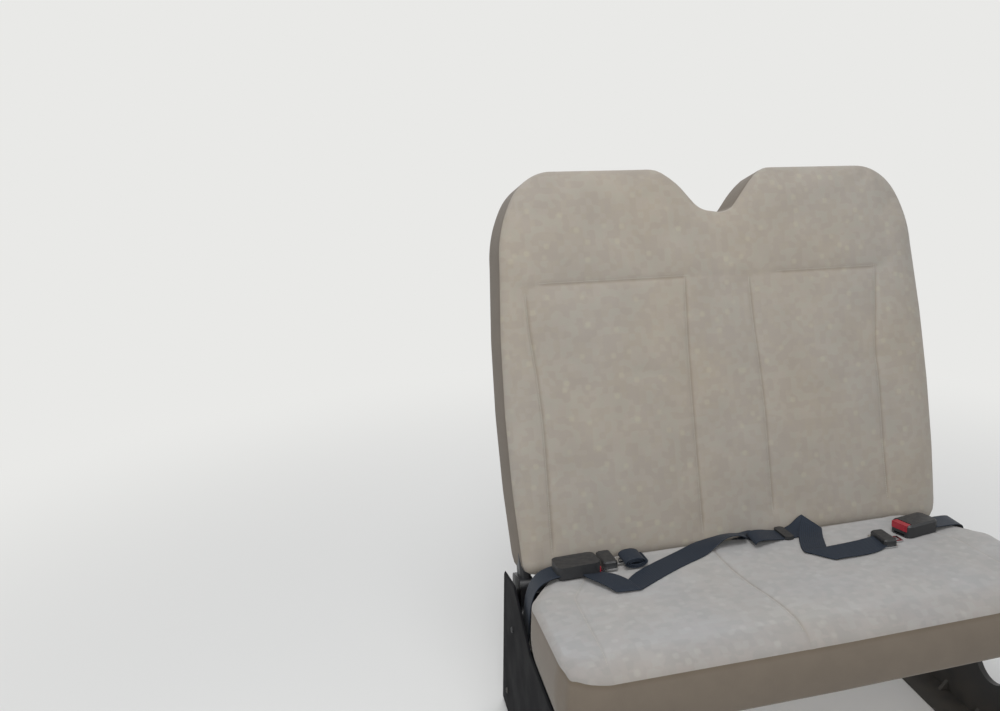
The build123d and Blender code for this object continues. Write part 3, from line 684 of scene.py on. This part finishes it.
# A seam's weight says how clearly it shows: how deep it is drawn in and how much painted shade it gets
side_seam = [(-260, 374), (-60, 369), (78, 292)]
cushion_seams = [
    {"column": 6, "weight": 0.4, "points": [(y, -x) for y, x in side_seam]},
    {"column": 31, "weight": 1.0, "points": [(-203, -61), (-159, -66), (-111, -75), (-50, -80)]},
    {"column": 69, "weight": 0.4, "points": side_seam},
]
cushion_cells, sewn_share = (75, 31), 0.85
cushion_rows = {5: cushion_front_y + cushion_bow + cushion_front_r}
roll_rings, band_rings = 7, 8
cushion_rings = roll_rings + band_rings + 1


def cushion_set_in(outline):
    """The top starts to roll over further in at the nose than at the sides."""
    return side_set_in + (nose_set_in - side_set_in) * np.maximum(0, -outline[:, 3])


cushion_crossing = pad_cells(cushion_outline, cushion_set_in, cushion_seams, seam_gap,
                             cushion_cells, cushion_rows)


def cushion_place(i, j, ring):
    """A crossing of the cover: on the top, over the roll to its seam, down the band, below. The
    band bulges at the front and the sides, and is flat at the cut corners and the rear."""
    x, y, out_x, out_y, set_in = cushion_crossing(i, j)
    front = max(0.0, -out_y)
    full = max(0.0, 1 - 2 * max(0.0, out_y))
    if ring == cushion_rings:
        return x, y, cushion_base_z
    turn = seam_turn * min(ring, roll_rings) / roll_rings
    roll = side_roll + (nose_roll - side_roll) * front
    reach = (set_in + proud - seam_in * full) * math.sin(turn)
    z = seat_top_z(y) - sunk - roll * (1 - math.cos(turn))
    if ring > roll_rings:
        down = min(1.0, (ring - roll_rings) / (band_rings - 1))
        reach += (set_in - seam_clear - reach) * down + band_bulge * full * math.sin(math.pi * down)
        z += (cushion_base_z - z) * down
        if ring == roll_rings + band_rings:
            reach -= band_tuck
    return x + reach * out_x, y + reach * out_y, z


def cushion_sewn(i, j, ring):
    """The front seam, the underside, and the seams over the top are sewn down."""
    if ring == roll_rings or ring >= cushion_rings - 2:
        return True
    column = i in [seam["column"] for seam in cushion_seams]
    return column and ring < roll_rings and j < sewn_share * cushion_cells[1]


def cushion_seam(i, j, ring):
    """How far the seams draw the cover in, and how much painted shade each gets: the centre one most.
    Over the roll the cloth is painted darker and browner more and more towards its seam, as painted
    shade on the nose."""
    if ring > roll_rings:
        return 0.0, 0.0
    x, y = cushion_crossing(i, j)[:2]
    # Painted shade over the nose roll, growing towards its seam
    deep, share = 0.0, math.sqrt(ring / roll_rings)
    if ring == roll_rings:
        return deep, share
    for seam in cushion_seams:
        run = seam["weight"] * run_share(y, cushion_front_y, seams_end_y, cushion_seam_fade)
        if i == seam["column"]:
            deep, share = seam_deep * run, max(share, run)
        elif i == seam["column"] - 1:
            deep = -seam_ridge * run
    return deep + crease_depth(x, y, cushion_creases, cushion_crease_w), share


# Where sitting has pulled the cloth: both ends of each crease, and its depth
cushion_creases = [
    ((-177 * mm, -43 * mm), (-85 * mm, -24 * mm), 2.0 * mm),
    ((-80 * mm, -60 * mm), (-20 * mm, -120 * mm), 1.0 * mm),
]

bm, spot = stuffed_pad(cushion_cells, cushion_rings, cushion_place)
cushion_held = [cushion_sewn(*v[spot]) for v in bm.verts]
for face in bm.faces:
    face.material_index = int(max(v[spot][2] for v in face.verts) > roll_rings)
# The seat and the backrest are the same cloth, but the seat's tints are lighter and greyer: painted light,
# for the light from above and the sheen on its top.
seat_moquette_painted_light = moquette("seat_moquette_painted_light", -cushion_drop, (0, cushion_rear_y, cushion_rear_z - 5 * mm),
                         ("a1a09e", "a4a2a0", "a6a3a1", "a7a6a4"), "b2b1ae")
cushion = mesh_object("cushion", bm, [seat_moquette_painted_light, side_cloth])
let_swell(cushion, cushion_held, cushion_cap)
# The belts' side of the top stays level, and the rear stays clear of the backrest
for vertex in cushion.data.vertices:
    free = min(1.0, max(0.0, (belts_y - vertex.co.y) / level_fade))
    vertex.co.z = min(vertex.co.z, seat_top_z(vertex.co.y) - top_under + top_rise * free)
    vertex.co.y = min(vertex.co.y, cushion_rear_y)
sew_down(cushion, Vector((0, -math.sin(cushion_drop), -math.cos(cushion_drop))), cushion_seam)
smooth_out(cushion)
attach(cushion, "root")
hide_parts("cushion_pad")
top_stitch("cushion_stitches", cushion, [
    [(seam_x(seam, y) - stitch_in, y, seat_top_z(y)) for y in np.linspace(stitch_from_y, stitch_to_y, 12)]
    for seam in cushion_seams
], Vector((0, 0, -1)))


# Backrest. Foam over a steel inner frame, in a sewn cover: a patterned moquette face with a head
# panel and seams down both places, a plain gusset round the edge and a plain rear.
recline = math.radians(16.6)

# The pad's outline on its tilted face: slightly bulged sides, shoulders of two arcs, and a notch
back_foot_y, back_foot_z = 92 * mm, 346 * mm
back_length, back_half, waist_bulge = 723 * mm, 436 * mm, 9 * mm
back_thick_low, back_thick_top = 88 * mm, 100 * mm
back_corner_r, shoulder_big_r, shoulder_small_r = 24 * mm, 235 * mm, 95.6 * mm
shoulder_drop, shoulder_inset, waist_s = 163 * mm, 2 * mm, 200 * mm
notch_depth, notch_side = 83 * mm, math.radians(52)
notch_top_r, notch_foot_r = 60 * mm, 50 * mm
# How the cover rolls over the edge to its seam, and how far the aisle side is drawn in
back_set_in, bolster_in, back_roll, back_proud = 19 * mm, 30 * mm, 15 * mm, 5 * mm
aisle_side_in, edge_in, back_cap = 18 * mm, 4 * mm, 6 * mm
back_seam_fade, head_seam_fade, back_crease_w = 20 * mm, 12 * mm, 8 * mm

side_chord = back_length - shoulder_drop - back_corner_r
lean = math.degrees(math.atan2(shoulder_inset, side_chord))
bow = waist_bulge + shoulder_inset * (waist_s - back_corner_r) / side_chord
side_r = (waist_s - back_corner_r) * (back_length - shoulder_drop - waist_s) / (2 * bow)
side_turn = math.degrees(math.asin(side_chord / 2 / side_r))
shoulder_turn = math.degrees(math.asin(
    (shoulder_drop - shoulder_small_r) / (shoulder_big_r - shoulder_small_r)))
slope_drop = notch_depth - (notch_top_r + notch_foot_r) * (1 - math.cos(notch_side))
crest_x = (notch_top_r + notch_foot_r) * math.sin(notch_side) + slope_drop / math.tan(notch_side)
shoulder_x = (back_half - shoulder_inset
              - (shoulder_big_r - shoulder_small_r) * (1 - math.cos(math.radians(shoulder_turn)))
              - shoulder_small_r)
back_outline = walk(0, 0, 0, [
    (back_half - back_corner_r, 0),
    (back_corner_r, 90),
    (0, lean - side_turn),
    (side_r, 2 * side_turn),
    (0, -lean - side_turn),
    (shoulder_big_r, shoulder_turn),
    (shoulder_small_r, 90 - shoulder_turn),
    (shoulder_x - crest_x, 0),
    (notch_top_r, math.degrees(notch_side)),
    (slope_drop / math.sin(notch_side), 0),
    (notch_foot_r, -math.degrees(notch_side)),
])
# A seam's run is from where to where up the slope it is sewn, and a head run is that along X
head_seam = 517 * mm
head_runs = [(-355 * mm, -64 * mm), (120 * mm, 348 * mm)]
back_seams = [
    {"column": 6, "run": (30 * mm, 505 * mm),
     "points": [(52, -367), (160, -366), (263, -365), (362, -370), (435, -377), (502, -379), (720, -330)]},
    {"column": 31, "run": (30 * mm, 525 * mm), "points": [(77, -75), (218, -75), (392, -74), (520, -69)]},
    {"column": 43, "run": (50 * mm, 515 * mm),
     "points": [(120, 73), (259, 74), (348, 70), (426, 65), (504, 63)]},
    {"column": 65, "run": (50 * mm, 520 * mm),
     "points": [(154, 327), (281, 330), (363, 328), (432, 335), (514, 343), (720, 325)]},
]
back_cells = (73, 62)
head_row = 43
back_rows = {head_row - 1: head_seam - seam_gap, head_row: head_seam, head_row + 1: head_seam + seam_gap}
edge_rings, gusset_rings = 5, 7
back_rings = 2 * edge_rings + gusset_rings


def back_set_in_at(outline):
    """The face falls away further at the sides than at the head and the foot."""
    return back_set_in + bolster_in * outline[:, 2] ** 2


back_crossing = pad_cells(back_outline, back_set_in_at, back_seams, seam_gap, back_cells, back_rows)


def on_back(x, depth, s):
    """A point behind the backrest's face, s up its slope."""
    return (x, back_foot_y + s * math.sin(recline) + depth * math.cos(recline),
            back_foot_z + s * math.cos(recline) - depth * math.sin(recline))


def back_place(i, j, ring):
    """A crossing of the cover: on the face, over its edge, back along the gusset, on the rear.
    The aisle side is drawn in, the more so the nearer to the face."""
    x, s, out_x, out_y, set_in = back_crossing(i, j)
    thick = back_thick_low + (back_thick_top - back_thick_low) * s / back_length
    rear_ring = back_rings - ring
    turn = math.pi / 2 * min(ring, rear_ring, edge_rings) / edge_rings
    front = min(1.0, max(0.0, (rear_ring - edge_rings) / gusset_rings))
    aisle_in = (edge_in + (aisle_side_in - edge_in) * front) * max(0.0, -out_x)
    reach = (set_in + back_proud * front - aisle_in) * math.sin(turn)
    in_depth = sunk + back_roll * (1 - math.cos(turn))
    if ring <= edge_rings:
        depth = in_depth
    elif rear_ring <= edge_rings:
        depth = thick - in_depth
    else:
        seam_depth = sunk + back_roll
        depth = seam_depth + (thick - 2 * seam_depth) * (ring - edge_rings) / gusset_rings
    return on_back(x + reach * out_x, depth, s + reach * out_y)


def back_sewn(i, j, ring):
    """Both edge seams and the seams of the face, each as far as it runs."""
    if ring in (edge_rings, back_rings - edge_rings):
        return True
    if ring:
        return False
    x, s = back_crossing(i, j)[:2]
    if j == head_row and any(start < x < end for start, end in head_runs):
        return True
    return any(i == seam["column"] and seam["run"][0] < s < seam["run"][1] for seam in back_seams)


def back_seam(i, j, ring):
    """How far the seams draw the cover in, and how much painted shade each gets."""
    # The edge seams get painted shade all along
    if ring in (edge_rings, back_rings - edge_rings):
        return 0.0, 0.6
    if ring:
        return 0.0, 0.0
    x, s = back_crossing(i, j)[:2]
    deep, share = 0.0, 0.0
    for seam in back_seams:
        run = run_share(s, *seam["run"], back_seam_fade)
        if i == seam["column"]:
            deep, share = seam_deep * run, 0.8 * run
        elif i == seam["column"] - 1:
            deep = -seam_ridge * run
    for start, end in head_runs:
        run = run_share(x, start, end, head_seam_fade)
        if j == head_row:
            deep, share = max(deep, seam_deep / 2 * run), max(share, 0.8 * run)
    return deep + crease_depth(x, s, back_creases, back_crease_w), share


# Two creases halfway up, where the cover is tied to the foam: both ends of each, and its depth
back_creases = [
    ((-215 * mm, 347 * mm), (-76 * mm, 333 * mm), 2.2 * mm),
    ((245 * mm, 342 * mm), (378 * mm, 330 * mm), 2.6 * mm),
]

bm, spot = stuffed_pad(back_cells, back_rings, back_place)
back_held = [back_sewn(*v[spot]) for v in bm.verts]
for face in bm.faces:
    face.material_index = int(max(v[spot][2] for v in face.verts) > edge_rings)
back_moquette = moquette("back_moquette", math.pi / 2 - recline, (0, back_foot_y + 2 * mm, back_foot_z),
                         ("9c948a", "9e968a", "a0988e", "9f998e"), "aca594")
backrest = mesh_object("backrest", bm, [back_moquette, side_cloth])
let_swell(backrest, back_held, back_cap)
sew_down(backrest, Vector((0, math.cos(recline), -math.sin(recline))), back_seam)
smooth_out(backrest)
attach(backrest, "root")
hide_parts("backrest_pad")
top_stitch("backrest_stitches", backrest, [
    *([on_back(seam_x(seam, s) - stitch_in, 0, s) for s in np.linspace(*seam["run"], 14)]
      for seam in back_seams),
    *([on_back(x, 0, head_seam + stitch_in) for x in run] for run in head_runs),
], Vector((0, math.cos(recline), -math.sin(recline))))


# Lap belts' webbing. Woven black polyester, 47 mm wide, through the anchor tabs: the outer straps
# come up past the cushion's cut corners to the buckles, the centre ones come up out of the gap
# before the backrest and lie loose over the cushion.
web_width, web_thick = 47 * mm, 1.5 * mm


def woven_polyester():
    material, tree, shader = new_material("woven_polyester", {
        "Roughness": 0.6, "Sheen Weight": 0.04, "Sheen Roughness": 0.4, "Specular IOR Level": 0.25})
    spot = add_node(tree, "UVMap").outputs[0]
    axes = add_node(tree, "SeparateXYZ", {0: spot})
    # Twelve ribs of twill across the width, each rib's floats leaning 45 degrees
    lean_ribs = add_node(tree, "Math", {0: axes.outputs["X"], 1: axes.outputs["Y"]}, operation="ADD")
    turns = add_node(tree, "Math", {0: lean_ribs.outputs[0], 1: 2 * math.pi / (2.0 * mm)},
                     operation="MULTIPLY")
    floats = add_node(tree, "Math", {0: turns.outputs[0]}, operation="SINE")
    across = add_node(tree, "Math", {0: axes.outputs["Y"], 1: 2 * math.pi / (3.9 * mm)},
                      operation="MULTIPLY")
    ribs = add_node(tree, "Math", {0: across.outputs[0]}, operation="SINE")
    height = add_node(tree, "Math", {0: floats.outputs[0], 1: 0.4, 2: ribs.outputs[0]},
                      operation="MULTIPLY_ADD")
    bump = add_node(tree, "Bump", {"Height": height.outputs[0], "Strength": 0.5, "Distance": 0.2 * mm})
    tree.links.new(bump.outputs[0], shader.inputs["Normal"])
    glint = add_node(tree, "MapRange", {0: height.outputs[0], 1: -1.4, 2: 1.4})
    colour = add_node(tree, "Mix", {0: glint.outputs[0], 6: srgb("161b24"), 7: srgb("28323f")},
                      data_type="RGBA")
    tree.links.new(colour.outputs[2], shader.inputs["Base Color"])
    return material


webbing = woven_polyester()


def strap(name, node, stations):
    """Webbing through stations. A station is where its two edges lie, in millimetres: x, y and the
    height over the cushion's plane. At a fold, marked True, the edges stand further apart."""
    rows = []
    for front, rear, *fold in stations:
        ends = [Vector((x * mm, y * mm, seat_top_z(y * mm) + h * mm)) for x, y, h in (front, rear)]
        middle = (ends[0] + ends[1]) / 2
        half = (ends[1] - ends[0]) / 2 if fold else (ends[1] - ends[0]).normalized() * web_width / 2
        rows.append((middle - half, middle + half))
    along = [0.0]
    for (a, b), (c, d) in zip(rows, rows[1:]):
        along.append(along[-1] + ((c + d) / 2 - (a + b) / 2).length)
    bm = bmesh.new()
    grid = bmesh.ops.create_grid(bm, x_segments=len(rows) - 1, y_segments=4, size=1.0)["verts"]
    uv = bm.loops.layers.uv.new("strap")
    for v in grid:
        k, t = round((v.co.x + 1) / 2 * (len(rows) - 1)), (v.co.y + 1) / 2
        for loop in v.link_loops:
            loop[uv].uv = (along[k], t * web_width)
        v.co = rows[k][0].lerp(rows[k][1], t)
    piece = mesh_object(name, bm, [webbing])
    rounded = piece.modifiers.new("drape", "SUBSURF")
    rounded.levels = rounded.render_levels = 3
    cloth = piece.modifiers.new("thickness", "SOLIDIFY")
    cloth.thickness, cloth.offset = web_thick, 0.0
    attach(piece, "root")
    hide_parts(node)


strap("aisle_outer_strap", "webbing_aisle", [
    ((-435.6, 10.5, -124), (-435.6, 57.5, -121)),
    ((-434, 9, -60), (-434, 56, -58)),
    ((-430, 4, -30), (-429, 51, -27)),
    ((-424, 1, -10), (-421, 48, -7)),
    ((-413, 2, 2), (-409, 49, 4)),
    ((-399, 4, 7), (-397, 51, 8)),
    ((-383, 6, 9), (-385, 53, 10)),
    ((-374, 6, 10), (-377, 53, 10)),
])
strap("wall_outer_strap", "webbing_wall", [
    ((435.6, 10.5, -124), (435.6, 57.5, -121)),
    ((435.6, 10.5, -60), (435.6, 57.5, -58)),
    ((435.4, 8, -26), (435.4, 55, -24)),
    ((430, 2, -8), (431, 49, -6)),
    ((412, -8, 2), (415, 39, 3)),
    ((390, -14, 5), (385, 33, 6)),
    ((356, -21, 9), (347, 25, 9)),
    ((343, -24, 10), (334, 22, 10)),
])
strap("aisle_centre_strap", "webbing_centre_aisle", [
    ((-54.5, 90, -115), (-7.5, 90, -115)),
    ((-50, 90, -60), (-3, 90, -60)),
    ((-34, 90, -18), (13, 90, -18)),
    ((-26, 88, -2), (20, 91, -2)),
    ((-16, 70, 4), (16, 93, 6)),
    ((-9, 52, 9), (4, 92, 6)),
    ((-15, 46, 14), (-12, 91, 4)),
    ((-26, 45, 20), (-24, 90, 7)),
    ((-40, 45, 22), (-38, 90, 8)),
    ((-54, 45, 20), (-52, 90, 7)),
    ((-68, 44, 13), (-69, 89, 5)),
    ((-82, 40, 5), (-91, 85, 3)),
    ((-96, 30, 2), (-110, 73, 6)),
    ((-113, 18, 1), (-133, 59, 5)),
    ((-140, 5, 1), (-160, 46, 3)),
    ((-175, -15, 1), (-194, 27, 3)),
    ((-212, -40, 1), (-232, 3, 4)),
    ((-242, -61, 1), (-262, -18, 3)),
    ((-261, -75, 2), (-300, -73, 2), True),
    ((-262, -76, 4), (-303, -75, 5), True),
    ((-270, -34, 6), (-313, -51, 8)),
    ((-287, -3, 5), (-330, -22, 9)),
    ((-300, 12, 3), (-342, 8, 7)),
    ((-308, 22, 1.6), (-330, 60, 3)),
    ((-304, 22.5, 1.6), (-304, 69.5, 1.6)),
    ((-294, 22.5, 1.6), (-294, 69.5, 1.6)),
])
# Its spare end lies rolled up flat beside the tongue
strap("aisle_strap_end", "webbing_centre_aisle", [
    tuple((-241 + (10 + 0.55 * k) * math.cos(k * math.pi / 4), y,
           12.5 + (2.5 + 0.35 * k) * math.sin(k * math.pi / 4)) for y in (11, 58))
    for k in range(25)
])
strap("wall_centre_strap", "webbing_centre_wall", [
    ((7.5, 93, -115), (54.5, 93, -115)),
    ((5, 93, -60), (52, 93, -60)),
    ((-8, 93, -15), (39, 93, -15)),
    ((-4, 88, 0), (42, 92, 2)),
    ((0, 66, 3), (34, 86, 4)),
    ((3, 40, 3), (20, 82, 4)),
    ((-5, 24, 5), (-1, 70, 7)),
    ((-9, 20, 10), (-6, 66, 12)),
    ((0, 22, 15), (3, 68, 17)),
    ((22, 29, 11), (24, 76, 13)),
    ((46, 38, 4), (48, 85, 5)),
    ((63, 41, 1.2), (63, 88, 1.2)),
    ((82, 41, 1.2), (82, 88, 1.2)),
    ((104, 44, 2), (100, 91, 8)),
    ((126, 50, 4), (112, 94, 18)),
    ((150, 62, 6), (126, 97, 24), True),
    ((151, 61, 4), (126, 96, 21), True),
    ((137, 34, 1.5), (100, 62, 6)),
    ((127, 6, 1.2), (84, 26, 2)),
    ((114, -26, 1.2), (70, -8, 1.2)),
    ((101, -76, 1.2), (67, -28, 2), True),
    ((102, -77, 3.5), (67, -29, 4.5), True),
    ((128, -77, 4), (120, -31, 8)),
    ((165, -76, 2), (162, -30, 9)),
    ((198, -70, 2), (198, -24, 9)),
    ((220, -57, 4), (220, -10, 6)),
    ((232, -55, 5), (232, -8, 6)),
])


# Buckles, tongues and slides. Glass-filled nylon shells with a slightly worn moulded grain, press
# buttons in red, and tongues of pressed steel, hardened and chromed.
def moulded_nylon():
    material, tree, shader = new_material("moulded_nylon", {"Base Color": srgb("27282a")})
    spot = add_node(tree, "TexCoord").outputs["Object"]
    # Spark-eroded grain, about 0.8 mm
    grain = add_node(tree, "TexNoise", {"Vector": spot, "Scale": 1200.0, "Detail": 2.0})
    bump = add_node(tree, "Bump", {"Height": grain.outputs[0], "Strength": 0.4, "Distance": 0.12 * mm})
    tree.links.new(bump.outputs[0], shader.inputs["Normal"])
    worn = add_node(tree, "TexNoise", {"Vector": spot, "Scale": 90.0, "Detail": 3.0})
    rough = add_node(tree, "MapRange", {0: worn.outputs[0], 1: 0.35, 2: 0.65, 3: 0.36, 4: 0.55})
    tree.links.new(rough.outputs[0], shader.inputs["Roughness"])
    return material


def red_abs():
    material, tree, shader = new_material("red_abs", {"Roughness": 0.35})
    spot = add_node(tree, "TexCoord").outputs["Object"]
    faded = add_node(tree, "TexNoise", {"Vector": spot, "Scale": 120.0, "Detail": 3.0})
    colour = add_node(tree, "Mix", {0: faded.outputs[0], 6: srgb("8e1f2c"), 7: srgb("a82a38")},
                      data_type="RGBA")
    tree.links.new(colour.outputs[2], shader.inputs["Base Color"])
    return material


def chromed_steel():
    material, tree, shader = new_material("chromed_steel", {
        "Metallic": 1.0, "Base Color": srgb("d4d5d6")})
    spot = add_node(tree, "TexCoord").outputs["Object"]
    rubbed = add_node(tree, "TexNoise", {"Vector": spot, "Scale": 260.0, "Detail": 2.0})
    rough = add_node(tree, "MapRange", {0: rubbed.outputs[0], 1: 0.3, 2: 0.7, 3: 0.12, 4: 0.26})
    tree.links.new(rough.outputs[0], shader.inputs["Roughness"])
    return material


dress(moulded_nylon(), "buckle_aisle", "buckle_wall", "tongue_grip_aisle", "tongue_grip_wall",
      "belt_keeper")
dress(red_abs(), "buckle_button_aisle", "buckle_button_wall")
dress(chromed_steel(), "tongue_aisle", "tongue_wall")


# Camera. It stands before the aisle side at a person's chest height, and the picture is the left
# part of its view, so the lens is shifted.
yaw, pitch, roll = 0.31355, 0.26246, 0.0056
camera_data = bpy.data.cameras.new("photo_camera")
camera_data.lens = 34.4625
camera_data.shift_x, camera_data.shift_y = -0.13206, -0.00668
camera = bpy.data.objects.new("photo_camera", camera_data)
scene.collection.objects.link(camera)
camera.matrix_world = (
    Matrix.Translation((-0.7197, -1.434, 1.1815))
    @ Matrix.Rotation(-yaw, 4, "Z")
    @ Matrix.Rotation(math.pi / 2 - pitch, 4, "X")
    @ Matrix.Rotation(roll, 4, "Z")
)
scene.camera = camera
scene.view_settings.view_transform = "Standard"
